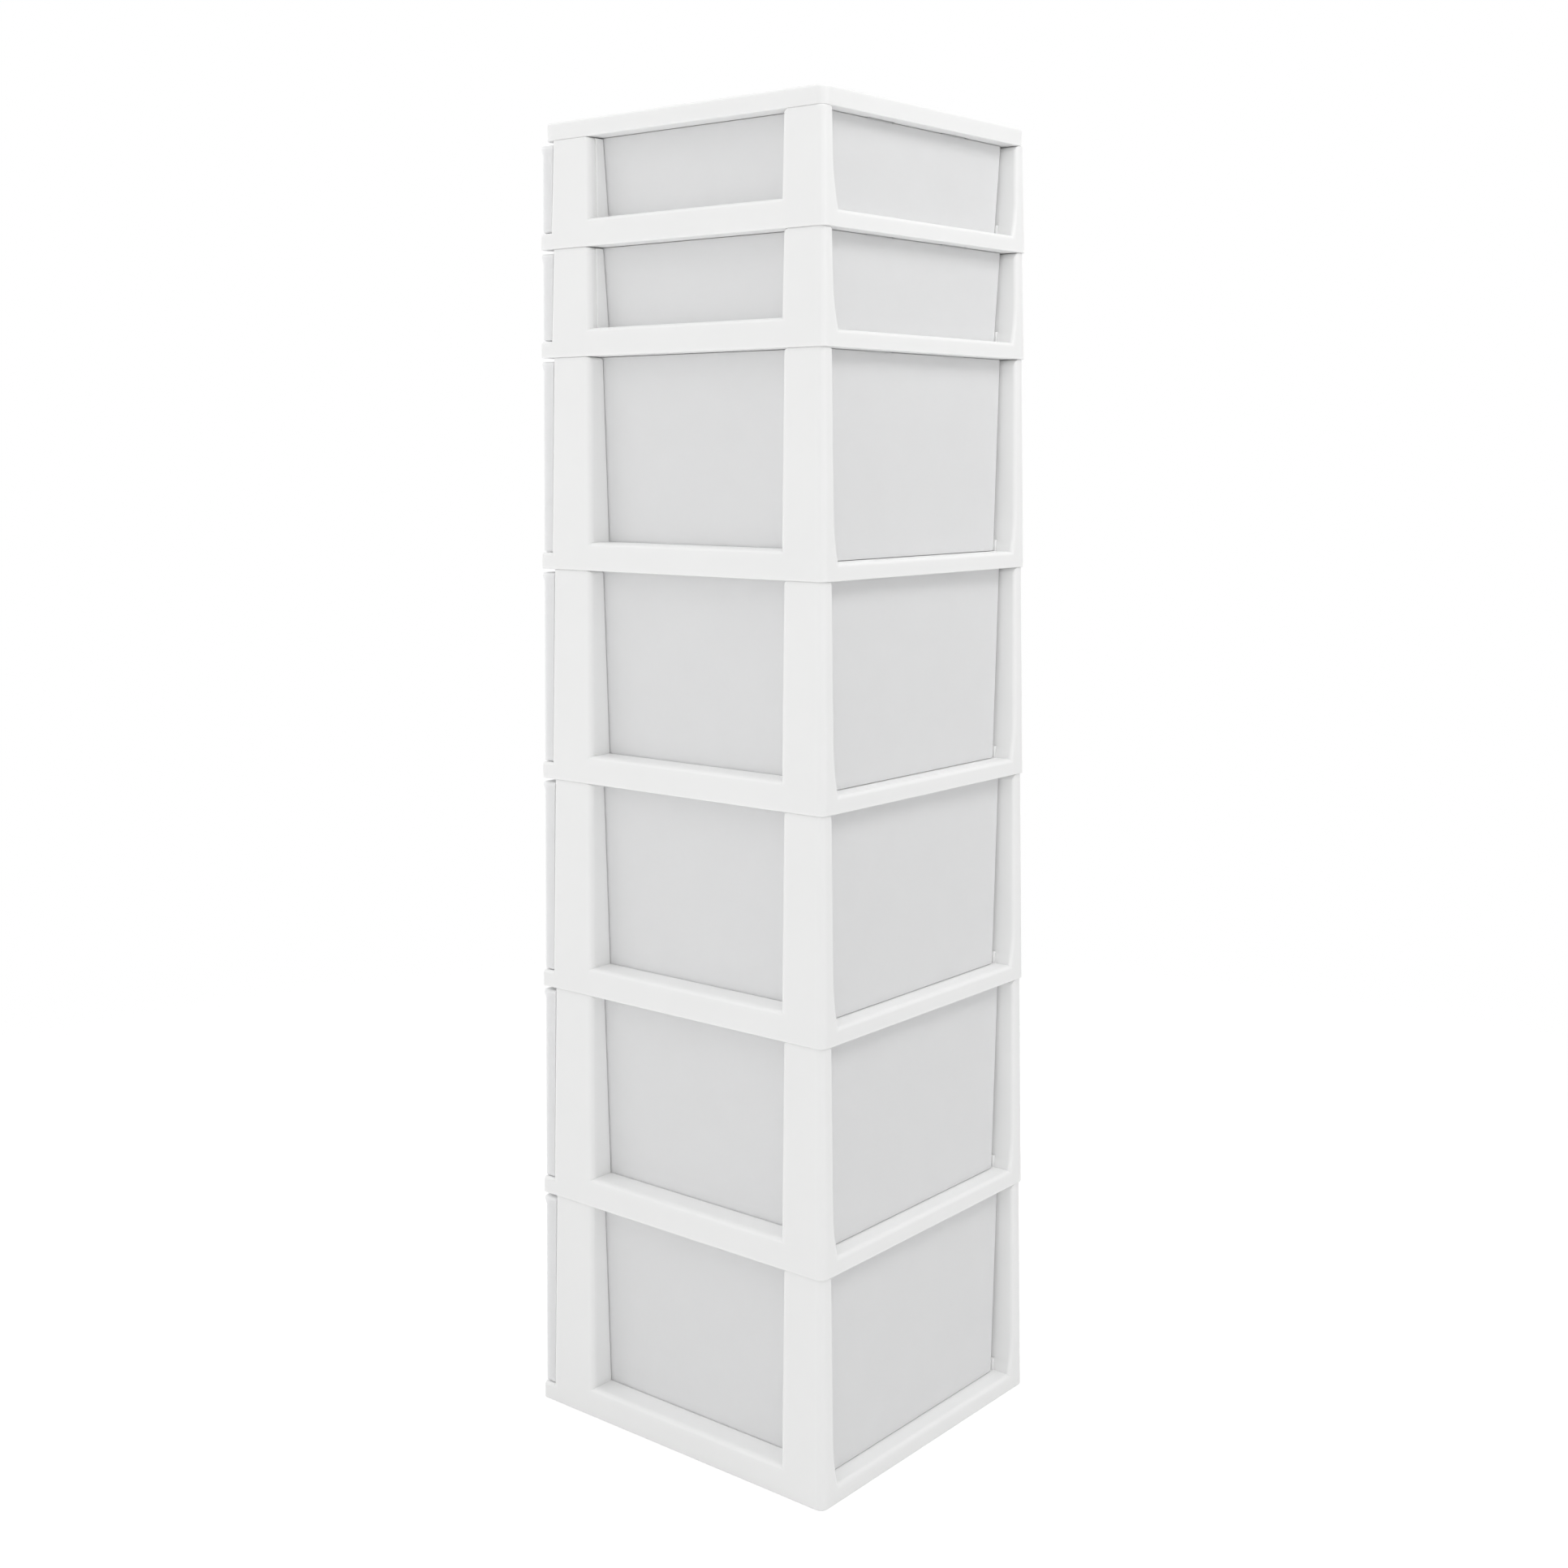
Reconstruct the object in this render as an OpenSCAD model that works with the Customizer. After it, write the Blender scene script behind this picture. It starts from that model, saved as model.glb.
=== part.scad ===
// Plastic drawer tower: stacked shelf frames, each with four corner posts,
// seven slide-out drawers (shallow ones on top) and a loose-fit top plate.
// Millimetres. +Z up, fronts face -Y, origin on the floor at the middle of the footprint.

/* [Tower] */
// Width across the frames
tower_w = 265.4; // [240:0.2:320]
// Depth of the frames, front lip included
tower_d = 285.5; // [260:0.5:340]
// Height taken by one deep tier
deep_pitch = 167; // [120:1:220]
// Height taken by one shallow tier
shallow_pitch = 85.2; // [70:0.2:110]
// How many of the seven tiers, counted from the top, are shallow
shallow_tiers = 2; // [0:1:7]

/* [Frames] */
// Wall of the skirt and the posts
frame_wall = 2.4; // [1.8:0.1:3.2]
// Thickness of the shelf floor and the ledges
floor_t = 2.2; // [1.6:0.1:3]
// Height of the shelf floor, the back rail and the front lip
floor_h = 13; // [11:0.5:18]
// Height of the side rails above the bottom of the frame
rail_h = 22; // [19:0.5:32]
// Radius of the outer corners
corner_r = 7; // [5:0.5:12]
// How far the front lip reaches ahead of the front posts
lip_reach = 11.75; // [9:0.25:18]
// Size of a rear post along the depth
rear_post_d = 39.4; // [30:0.2:55]
// Size of a front post along the depth
front_post_d = 43; // [32:0.5:60]
// Size of every post along the width
post_w = 14.9; // [12.5:0.1:15.5]
// Radius of the front edge of the front posts
post_edge_r = 2; // [1:0.5:4]
// Radius of the posts' top corners beside the window
post_top_r = 4; // [1:0.5:5]
// Length of the post's inner lip beside the drawer
post_lip = 13; // [6:0.5:14]
// Height of the ribs under the shelf floor
rib_h = 4.8; // [2:0.2:5]
// Thickness of the ribs
rib_t = 1.8; // [1.2:0.1:3]

/* [Stacking] */
// Height of the spigot on top of every post
spigot_h = 8; // [4:0.5:9]
// Size of the spigot along the width
spigot_w = 5.6; // [4:0.2:6]
// Size of the spigot along the depth
spigot_d = 24; // [14:1:26]
// Clearance around the spigot in its socket
spigot_gap = 0.3; // [0.2:0.05:0.5]
// Wall of the socket that takes the spigot
socket_wall = 2.6; // [2.4:0.1:2.8]

/* [Top plate] */
// Height of the top plate with its skirt
plate_h = 14.6; // [13.5:0.1:22]
// Thickness of the plate
plate_t = 2.4; // [1.8:0.1:3.2]
// How far the top plate stands in from the frames at the sides and the back
plate_inset = 1.15; // [0.5:0.05:3]
// How far the top plate stands back from the front lip
plate_setback = 3.7; // [2:0.1:8]

/* [Drawers] */
// Wall of a drawer
drawer_wall = 1.8; // [1.4:0.1:2.6]
// Thickness of a drawer's bottom
drawer_floor_t = 2; // [1.5:0.1:3]
// Clearance between a drawer's top edge and the posts
drawer_gap = 1.2; // [0.8:0.1:2.5]
// Inward slope of each side of a drawer from top to bottom
side_draft = 6.6; // [3:0.2:9]
// Distance from the back of the frame to the drawer's top edge
back_space = 13.2; // [9:0.2:20]
// Inward slope of a drawer's back wall from top to bottom
back_draft = 2.5; // [1:0.5:5]
// Radius of a drawer's rear corners at the top
tub_r = 10; // [6:0.5:16]
// Radius of a drawer's rear corners at the bottom
tub_low_r = 8; // [4:0.5:12]
// Clearance between a drawer and the side rails that guide it
guide_gap = 2; // [1:0.1:3]
// Clearance under a drawer
slide_gap = 0.4; // [0.3:0.05:0.8]
// Clearance between a drawer's rim and the frame above
rim_gap = 1; // [0.6:0.1:2]
// How far a drawer pulls out
travel = 200; // [120:5:215]

/* [Drawer fronts] */
// Thickness of the front panel
front_t = 2.4; // [1.8:0.1:3.2]
// How far the panel stands back from the front lip of the frame
front_setback = 2.1; // [1.6:0.1:4]
// How far the panel's sides stand in from the frame
front_inset = 1.5; // [0.8:0.1:4]
// Gap above the panel
front_top_gap = 3; // [2:0.25:6]
// Thickness of the flange round the back of the panel
flange_t = 2.2; // [1.6:0.1:3]
// Clearance between the flange and the front posts
flange_gap = 0.4; // [0.3:0.05:0.8]
// How far the pull lip flares out at the panel's top edge
pull_reach = 1.9; // [1:0.1:2]
// Height of the pull lip
pull_h = 6; // [4:0.5:10]
// Width of the finger dish under the pull lip
dish_w = 110; // [60:5:160]
// Height of the finger dish
dish_h = 24; // [14:1:30]
// Depth of the finger dish
dish_depth = 3.2; // [2:0.1:3.6]

/* [Stop tabs] */
// Width of each of the two tabs on a drawer's back wall
tab_w = 30; // [16:1:40]
// Distance of the tabs from the middle
tab_x = 48; // [30:1:56]
// How far the tabs rise past the bottom of the frame above
tab_rise = 4; // [3:0.25:5]
// Clearance between a stopped tab and the stop rib
stop_gap = 0.3; // [0.2:0.05:0.6]
// Height of the stop rib's lower edge above the bottom of its frame
stop_low = 1; // [0.5:0.25:1.5]

/* [Hidden] */
$fn = 48;
HULL_FN = 32;
SLIVER = 0.01;
CUT = 1;
TIERS = 7;

FRAME_WHITE = [0.93, 0.93, 0.92];
FROSTED_GREY = [0.80, 0.81, 0.83];

// Tiers count from 1 at the top
function pitch(i) = i <= shallow_tiers ? shallow_pitch : deep_pitch;
function level(i) = i >= TIERS ? 0 : level(i + 1) + pitch(i + 1);
TOP_LEVEL = level(1) + pitch(1);

HALF_W = tower_w / 2;
BACK_Y = tower_d / 2;
LIP_Y = -tower_d / 2;
POST_FRONT_Y = LIP_Y + lip_reach;
POST_IN_X = HALF_W - post_w;
REAR_EDGE_Y = BACK_Y - rear_post_d;
FRONT_EDGE_Y = POST_FRONT_Y + front_post_d;

// Drawer body, from its top edge down to its bottom
TUB_TOP_HALF = POST_IN_X - drawer_gap;
TUB_LOW_HALF = TUB_TOP_HALF - side_draft;
TUB_TOP_BACK = BACK_Y - back_space;
TUB_LOW_BACK = TUB_TOP_BACK - back_draft;
RAIL_IN_X = TUB_LOW_HALF + guide_gap;

// Front panel
PANEL_FRONT_Y = LIP_Y + front_setback;
PANEL_BACK_Y = PANEL_FRONT_Y + front_t;
FLANGE_BACK_Y = POST_FRONT_Y - flange_gap;
PANEL_HALF = HALF_W - front_inset;
// The dish is a slice of a cylinder, dish_h high and dish_depth deep
DISH_R = (pow(dish_h / 2, 2) + pow(dish_depth, 2)) / (2 * dish_depth);

// The tab's front face meets the stop rib after the travel
TAB_FRONT_Y = TUB_TOP_BACK - drawer_wall;
STOP_Y = TAB_FRONT_Y - travel - stop_gap;
TAB_TOP = rim_gap + tab_rise;

// Spigots sit in the middle of the posts
SPIGOT_X = HALF_W - post_w / 2;
REAR_SPIGOT_Y = BACK_Y - rear_post_d / 2;
FRONT_SPIGOT_Y = POST_FRONT_Y + front_post_d / 2;

// Rectangle from (x0, y0) to (x1, y1) with round corners
module round_rect(x0, y0, x1, y1, r) {
    translate([x0 + r, y0]) square([x1 - x0 - 2 * r, y1 - y0]);
    translate([x0, y0 + r]) square([x1 - x0, y1 - y0 - 2 * r]);
    for (x = [x0 + r, x1 - r], y = [y0 + r, y1 - r])
        translate([x, y]) circle(r);
}

// Outline of the frame, drawn in by inset
module frame_plan(inset = 0) {
    round_rect(-HALF_W + inset, LIP_Y + inset, HALF_W - inset, BACK_Y - inset, corner_r - inset);
}

module block(x0, x1, y0, y1, z0, z1) {
    translate([x0, y0, z0]) cube([x1 - x0, y1 - y0, z1 - z0]);
}

module both_sides() {
    children();
    mirror([1, 0, 0]) children();
}

module at_spigots() {
    both_sides()
        for (y = [FRONT_SPIGOT_Y, REAR_SPIGOT_Y])
            translate([SPIGOT_X, y, 0]) children();
}

// Socket under a shelf or plate that takes the spigot of the post below
module socket(h) {
    w = spigot_w + 2 * spigot_gap;
    d = spigot_d + 2 * spigot_gap;
    linear_extrude(h)
        difference() {
            square([w + 2 * socket_wall, d + 2 * socket_wall], center = true);
            square([w, d], center = true);
        }
}

// Outline of the right-hand posts
module post_plan() {
    intersection() {
        union() {
            translate([POST_IN_X, REAR_EDGE_Y]) square([post_w, rear_post_d]);
            translate([POST_IN_X, POST_FRONT_Y]) square([post_w, front_post_d]);
        }
        frame_plan();
        round_rect(-HALF_W, POST_FRONT_Y, HALF_W, BACK_Y + corner_r, post_edge_r);
    }
}

// Channel inside the right-hand posts, open towards the drawer
module post_channel_plan() {
    intersection() {
        union() {
            translate([POST_IN_X + frame_wall, REAR_EDGE_Y + frame_wall])
                square([post_w, rear_post_d - frame_wall]);
            translate([POST_IN_X - CUT, REAR_EDGE_Y + frame_wall])
                square([post_w, rear_post_d - frame_wall - post_lip]);
            translate([POST_IN_X + frame_wall, POST_FRONT_Y + frame_wall])
                square([post_w, front_post_d - 2 * frame_wall]);
            translate([POST_IN_X - CUT, POST_FRONT_Y + post_lip])
                square([post_w, front_post_d - frame_wall - post_lip]);
        }
        frame_plan(frame_wall);
    }
}

// What rounds off the top corner of a post, which stands at y and faces the window on side s
module post_top_cut(y, s, h) {
    translate([0, y - s * post_top_r, h - post_top_r])
        rotate([0, 90, 0])
            difference() {
                translate([-post_top_r - CUT, s > 0 ? 0 : -post_top_r - CUT, -CUT])
                    cube([post_top_r + CUT, post_top_r + CUT, HALF_W + 2 * CUT]);
                translate([0, 0, -2 * CUT])
                    cylinder(r = post_top_r, h = HALF_W + 4 * CUT);
            }
}

// Plan of the hollow side rail and the posts' feet, right-hand side
module rail_plan(inset = 0) {
    intersection() {
        union() {
            translate([RAIL_IN_X + inset, POST_FRONT_Y + inset])
                square([HALF_W, TUB_LOW_BACK - POST_FRONT_Y - 2 * inset]);
            translate([POST_IN_X + inset, REAR_EDGE_Y + inset])
                square([HALF_W, rear_post_d]);
        }
        frame_plan(inset);
    }
}

// Ribs that stiffen a shelf or plate whose underside is at height z
module ribs(z, x_half, y0, y1) {
    rib_x = tab_x + tab_w / 2 + 2 * rib_t;
    for (x = [-rib_x, 0, rib_x])
        block(x - rib_t / 2, x + rib_t / 2, y0, y1, z - rib_h, z + SLIVER);
    for (k = [1:2])
        let (y = y0 + (y1 - y0) * k / 3)
            block(-x_half, x_half, y - rib_t / 2, y + rib_t / 2, z - rib_h, z + SLIVER);
    block(-x_half, x_half, STOP_Y - frame_wall, STOP_Y, stop_low, z + SLIVER);
}

// Shelf, side rails and four posts in one moulding
module tier_frame(i) {
    h = pitch(i);
    color(FRAME_WHITE)
    translate([0, 0, level(i)]) {
        difference() {
            union() {
                linear_extrude(floor_h) frame_plan();
                both_sides() linear_extrude(rail_h) rail_plan();
                both_sides() linear_extrude(h) post_plan();
            }
            translate([0, 0, -CUT])
                linear_extrude(floor_h - floor_t + CUT)
                    frame_plan(frame_wall);
            both_sides()
                translate([0, 0, -CUT])
                    linear_extrude(rail_h - floor_t + CUT)
                        rail_plan(frame_wall);
            both_sides()
                translate([0, 0, rail_h])
                    linear_extrude(h - rail_h - frame_wall)
                        post_channel_plan();
            both_sides() {
                post_top_cut(FRONT_EDGE_Y, 1, h);
                post_top_cut(REAR_EDGE_Y, -1, h);
            }
        }
        ribs(floor_h - floor_t, RAIL_IN_X + SLIVER, LIP_Y + frame_wall / 2, BACK_Y - frame_wall / 2);
        at_spigots() socket(rail_h - floor_t + SLIVER);
        at_spigots()
            translate([-spigot_w / 2, -spigot_d / 2, h - frame_wall / 2])
                cube([spigot_w, spigot_d, spigot_h + frame_wall / 2]);
    }
}

// Plate that closes the stack
module top_plate() {
    x = HALF_W - plate_inset;
    y0 = LIP_Y + plate_setback;
    y1 = BACK_Y - plate_inset;
    inner_h = plate_h - plate_t;
    color(FRAME_WHITE)
    translate([0, 0, TOP_LEVEL]) {
        difference() {
            linear_extrude(plate_h) round_rect(-x, y0, x, y1, corner_r);
            translate([0, 0, -CUT])
                linear_extrude(inner_h + CUT)
                    round_rect(-x + frame_wall, y0 + frame_wall,
                               x - frame_wall, y1 - frame_wall, corner_r - frame_wall);
        }
        ribs(inner_h, RAIL_IN_X, y0 + frame_wall / 2, y1 - frame_wall / 2);
        at_spigots() socket(inner_h + SLIVER);
    }
}

// Drawer body as a tapered block from height z0 to z1, drawn in by inset
module tub(z0, z1, h, inset) {
    fore = LIP_Y - tub_r * 2;
    // How far the slope has gone at height z
    low = slide_gap + floor_h;
    high = h - rim_gap;
    f0 = (z0 - low) / (high - low);
    f1 = (z1 - low) / (high - low);
    hull() {
        for (e = [[z0, f0], [z1, f1]])
            translate([0, 0, e[0]])
                linear_extrude(SLIVER)
                    let (half = TUB_LOW_HALF + e[1] * side_draft - inset,
                         back = TUB_LOW_BACK + e[1] * back_draft - inset,
                         r = tub_low_r + e[1] * (tub_r - tub_low_r) - inset)
                        round_rect(-half, fore, half, back, r, $fn = HULL_FN);
    }
}

// Open box with a flanged front panel, moulded in one piece
module tier_drawer(i) {
    h = pitch(i);
    low = floor_h + slide_gap;
    rim = h - rim_gap;
    front_top = h - front_top_gap;
    dish_z = front_top - pull_h - dish_h / 2;
    color(FROSTED_GREY)
    translate([0, 0, level(i)]) {
        // Tub, joined to the panel
        difference() {
            tub(low, rim, h, 0);
            tub(low + drawer_floor_t, rim + CUT, h, drawer_wall);
            block(-tower_w, tower_w, LIP_Y - tower_d, PANEL_BACK_Y - front_t / 2, -CUT, h + CUT);
            block(-tower_w, tower_w, LIP_Y - tower_d, FLANGE_BACK_Y, front_top - flange_t / 2, h + CUT);
        }
        // Panel with its flange and the finger dish
        difference() {
            union() {
                difference() {
                    block(-PANEL_HALF, PANEL_HALF, PANEL_FRONT_Y, FLANGE_BACK_Y, low, front_top);
                    block(-PANEL_HALF + flange_t, PANEL_HALF - flange_t,
                          PANEL_BACK_Y, FLANGE_BACK_Y + CUT, low + flange_t, front_top - flange_t);
                }
                block(-dish_w / 2 - front_t, dish_w / 2 + front_t,
                      PANEL_BACK_Y - SLIVER, PANEL_BACK_Y + dish_depth,
                      dish_z - dish_h / 2 - front_t, dish_z + dish_h / 2 + front_t / 2);
            }
            translate([-dish_w / 2, PANEL_FRONT_Y + dish_depth - DISH_R, dish_z])
                rotate([0, 90, 0]) cylinder(r = DISH_R, h = dish_w);
        }
        // Pull lip along the top edge
        rotate([90, 0, 90])
            translate([0, 0, -PANEL_HALF])
                linear_extrude(2 * PANEL_HALF)
                    polygon([
                        [PANEL_BACK_Y, front_top - flange_t / 2],
                        [PANEL_FRONT_Y + front_t / 2, front_top - pull_h],
                        [PANEL_FRONT_Y, front_top - pull_h],
                        [PANEL_FRONT_Y - pull_reach, front_top - pull_h / 3],
                        [PANEL_FRONT_Y - pull_reach, front_top]
                    ]);
        // Stop tabs on the back wall
        both_sides()
            block(tab_x - tab_w / 2, tab_x + tab_w / 2,
                  TAB_FRONT_Y, TUB_TOP_BACK, rim - pull_h, rim + TAB_TOP);
    }
}

top_plate();
for (i = [1:TIERS]) tier_frame(i);
for (i = [1:TIERS]) tier_drawer(i);
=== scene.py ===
import math

import bmesh
import bpy
from mathutils import Matrix, Vector


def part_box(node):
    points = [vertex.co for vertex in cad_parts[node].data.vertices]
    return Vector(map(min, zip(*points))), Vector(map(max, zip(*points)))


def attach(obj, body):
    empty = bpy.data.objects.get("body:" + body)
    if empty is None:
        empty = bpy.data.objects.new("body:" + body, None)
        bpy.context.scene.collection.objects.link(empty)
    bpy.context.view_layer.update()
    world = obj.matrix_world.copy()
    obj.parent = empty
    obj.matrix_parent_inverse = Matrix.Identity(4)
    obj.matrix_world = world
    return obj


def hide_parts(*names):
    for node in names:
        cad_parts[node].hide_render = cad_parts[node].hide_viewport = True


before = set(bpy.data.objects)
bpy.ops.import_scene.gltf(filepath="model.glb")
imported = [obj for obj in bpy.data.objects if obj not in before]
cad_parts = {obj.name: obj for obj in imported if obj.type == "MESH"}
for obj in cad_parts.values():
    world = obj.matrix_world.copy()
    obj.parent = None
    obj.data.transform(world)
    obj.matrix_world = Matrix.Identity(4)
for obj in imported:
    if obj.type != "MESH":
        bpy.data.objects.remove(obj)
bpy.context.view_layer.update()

# Sizes are in metres. +Z is up, the drawer fronts face -Y, and tier 1 is at the top.
MM = 0.001
TINY = 1e-5
FAR = 2.0
TIERS = range(1, 8)

# Outer sizes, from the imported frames
FRAME_LOW, FRAME_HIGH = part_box("frame_7")
PLATE_LOW, PLATE_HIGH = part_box("top_plate")
HALF_W = FRAME_HIGH.x
LIP_Y = FRAME_LOW.y
BACK_Y = FRAME_HIGH.y
LEVEL = {tier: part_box(f"frame_{tier}")[0].z for tier in TIERS}
ABOVE = {tier: LEVEL[tier - 1] if tier > 1 else PLATE_LOW.z for tier in TIERS}
PITCH = {tier: ABOVE[tier] - LEVEL[tier] for tier in TIERS}

# Angles between two faces: of one plane, of an edge, and where the shading breaks
FLAT_ANGLE = math.radians(0.2)
EDGE_ANGLE = 0.3
CREASE_ANGLE = math.radians(35)

# Number of steps in a curve
ROUND_STEPS = 4
CORNER_STEPS = 6
LIP_END_STEPS = 5
RIM_STEPS = 2
FLARE_STEPS = 8
DISH_STEPS = 6
FLOOR_STEPS = 96

# Frames
WALL = 2.4 * MM
FLOOR_T = 2.2 * MM
FLOOR_H = 13 * MM
RAIL_H = 22 * MM
RAIL_BACK_Y = 127 * MM
CORNER_R = 6 * MM
LIP_END_R = 3 * MM
LIP_R = 2.6 * MM
POST_W = 15.2 * MM
POST_IN_X = HALF_W - POST_W
POST_FRONT_Y = LIP_Y + 12.1 * MM
FRONT_EDGE_Y = POST_FRONT_Y + 43.45 * MM
REAR_EDGE_Y = BACK_Y - 40.1 * MM
GUIDE_X = HALF_W - 8 * MM
GUIDE_RISE = 0.9 * MM
SHALLOW = 100 * MM
SIDE_DRAFT = 1.4 * MM
DEPTH_DRAFT = 1.5 * MM
WINDOW_R = 3.2 * MM
POST_WINDOW_R = 5.5 * MM
POST_EDGE_R = 2.2 * MM
POST_SHOULDER_R = 5.5 * MM
SEAM_R = 0.7 * MM
FOOT_R = 0.8 * MM
FLARE = 5 * MM
FLARE_H = 36 * MM
FLARE_REACH = 1.5 * WINDOW_R

# Ribs, sockets and spigots
HOLLOW_HALF = 112 * MM + WALL
RIB_T = 1.8 * MM
RIB_DROP = 4.8 * MM
RIB_X = 66.6 * MM
RIB_Y = 47.2 * MM
STOP_Y = -72.5 * MM
STOP_LOW = 1 * MM
STRIP_Y = 125 * MM
SOCKET_X = (122 * MM, 128.2 * MM)
SOCKET_HALF_D = 12.4 * MM
REAR_SPIGOT_Y = 123 * MM
FRONT_SPIGOT_Y = -109.5 * MM
SPIGOT_X = 125.6 * MM
SPIGOT_W = 4.6 * MM
SPIGOT_D = 24 * MM
SPIGOT_H = 8 * MM
SPIGOT_INSET = (POST_W - SPIGOT_W) / 2 - POST_SHOULDER_R / 2

# Top plate
PLATE_T = 2.4 * MM
PLATE_CORNER_R = 8 * MM
PLATE_EDGE_R = 2.2 * MM

# Gaps round the drawers
RIM_GAP = 0.4 * MM
FLANGE_GAP = 0.2 * MM
FRONT_TOP_GAP = 3 * MM
POST_GAP = 0.4 * MM
RAIL_GAP = 0.35 * MM

# Drawers
DRAWER_WALL = 1.8 * MM
DRAWER_LOW = 13.4 * MM
TUB_TOP_HALF = 116.6 * MM
TUB_LOW_HALF = 111 * MM
TUB_TOP_BACK = 129.8 * MM
TUB_LOW_BACK = 127.8 * MM
TUB_CORNER_R = 5 * MM
TUB_FOOT_R = 0.8 * MM
RIM_R = 0.5 * MM
PANEL_HALF = 131.2 * MM
PANEL_FRONT_Y = -140.65 * MM
PANEL_T = 2.4 * MM
PANEL_EDGE_R = 1.2 * MM
PANEL_CORNER_R = 2.4 * MM
TUB_FORE_Y = PANEL_FRONT_Y + PANEL_T * 0.75
FLANGE_BACK_Y = POST_FRONT_Y - FLANGE_GAP
FLANGE_T = 2.2 * MM
PULL_H = 7 * MM
PULL_EDGE_H = 3 * MM
PULL_REACH = 1.85 * MM
DISH_W = 110 * MM
DISH_H = 24 * MM
DISH_DEPTH = 3 * MM
DISH_END = 9 * MM
DISH_FORE_Y = PANEL_FRONT_Y + PANEL_T * 0.5
TAB_X = 48 * MM
TAB_W = 30 * MM
TAB_RISE = 4 * MM
TAB_ROOT = 0.3 * MM
TAB_R = 2 * MM

# The way that the drawers' tabs take through the shelf above
TAB_PATH_Y = 131.4 * MM
TAB_PATH_HALF = TAB_W / 2 + 2 * MM

# Plastics: their darkest and lightest tone, and how far light runs inside them
WHITE_TONES = ((0.848, 0.850, 0.846), (0.876, 0.876, 0.872))
FROSTED_TONES = ((0.846, 0.851, 0.859), (0.878, 0.883, 0.891))
WHITE_DEPTH = 1.8 * MM
FROSTED_DEPTH = 5 * MM
PLASTIC_IOR = 1.49

# Studio. The floor is one grey for light, and another with a glow for the camera.
FLOOR_R = 1.6
FLOOR_FADE = (FLOOR_R * 0.35, FLOOR_R * 0.95)
FLOOR_GREY = 0.85
FLOOR_SHADE = 0.4
FLOOR_GLOW = 0.7
SURROUND_LIGHT = 0.8
SURROUND_LEAN = (0.25, -0.06, 0.03)
SENSOR = 36
LENS = 46.471
CAMERA_YAW = 50.744
CAMERA_TILT = -1.75
CAMERA_PLACE = (1.25615, 1.02538, 0.75832)
CAMERA_SHIFT = -0.17043


# ---------------------------------------------------------------- mesh tools

def block(low, high):
    """Starts a mesh from a box between two corners."""
    bm = bmesh.new()
    low, high = Vector(low), Vector(high)
    stretch = Matrix.Diagonal((*(high - low), 1))
    bmesh.ops.create_cube(bm, size=1, matrix=Matrix.Translation((low + high) / 2) @ stretch)
    bm.edges.layers.float.new("bevel_weight_edge")
    return bm


def picked(elements, low, high):
    """The edges or faces that lie wholly inside a box."""
    def inside(point):
        return all(a - TINY <= p <= b + TINY for p, a, b in zip(point, low, high))
    return [e for e in elements if all(inside(v.co) for v in e.verts)]


def at_height(elements, z):
    """The edges or faces that lie level, at one height."""
    return picked(elements, (-FAR, -FAR, z), (FAR, FAR, z))


def sharp(edges):
    """Those of the edges where two faces meet at an angle."""
    return [e for e in edges if e.is_manifold and e.calc_face_angle() > EDGE_ANGLE]


def sides_of(middles, half):
    """The two sides of each strip, from its middle and half its width."""
    return [middle + side * half for middle in middles for side in (-1, 1)]


def bevel(bm, edges, radius, segments=ROUND_STEPS):
    """Rounds edges to one radius."""
    bmesh.ops.bevel(bm, geom=edges, offset=radius, offset_type="OFFSET", affect="EDGES",
                    segments=segments, profile=0.5, material=-1, clamp_overlap=False)


def cut_across(bm, axis, places, low=(-FAR,) * 3, high=(FAR,) * 3):
    """Cuts the faces inside a box with planes square to an axis, 0 to 2."""
    normal = Vector((0, 0, 0))
    normal[axis] = 1
    for place in places:
        faces = picked(bm.faces, low, high)
        verts = dict.fromkeys(v for f in faces for v in f.verts)
        edges = dict.fromkeys(e for f in faces for e in f.edges)
        bmesh.ops.bisect_plane(bm, geom=[*verts, *edges, *faces], dist=TINY,
                               plane_co=normal * place, plane_no=normal)


def push(bm, faces, offset):
    """Pushes a region of faces along an offset, with walls behind it, and returns its faces."""
    made = bmesh.ops.extrude_face_region(bm, geom=faces)["geom"]
    bmesh.ops.delete(bm, geom=faces, context="FACES")
    moved = [v for v in made if isinstance(v, bmesh.types.BMVert)]
    bmesh.ops.translate(bm, verts=moved, vec=offset)
    return [f for f in made if isinstance(f, bmesh.types.BMFace)]


def join_flats(bm):
    """Closes up slivers, and joins faces that lie in one plane and edges on one line."""
    bmesh.ops.dissolve_degenerate(bm, dist=TINY, edges=bm.edges)
    flat = [e for e in bm.edges if e.is_manifold and e.calc_face_angle() < FLAT_ANGLE]
    bmesh.ops.dissolve_edges(bm, edges=flat, use_verts=False, use_face_split=False)
    spare = [v for v in bm.verts if len(v.link_edges) == 2 and v.calc_edge_angle() < FLAT_ANGLE]
    bmesh.ops.dissolve_verts(bm, verts=spare, use_face_split=False, use_boundary_tear=False)


def whole(bm):
    """Opens a right-hand half at the middle and mirrors it to a whole."""
    middle = picked(bm.faces, (0, -FAR, -FAR), (0, FAR, FAR))
    bmesh.ops.delete(bm, geom=middle, context="FACES")
    geom = [*bm.verts, *bm.edges, *bm.faces]
    bmesh.ops.mirror(bm, geom=geom, matrix=Matrix.Identity(4), merge_dist=TINY, axis="X")
    bmesh.ops.recalc_face_normals(bm, faces=bm.faces)
    join_flats(bm)


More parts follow.
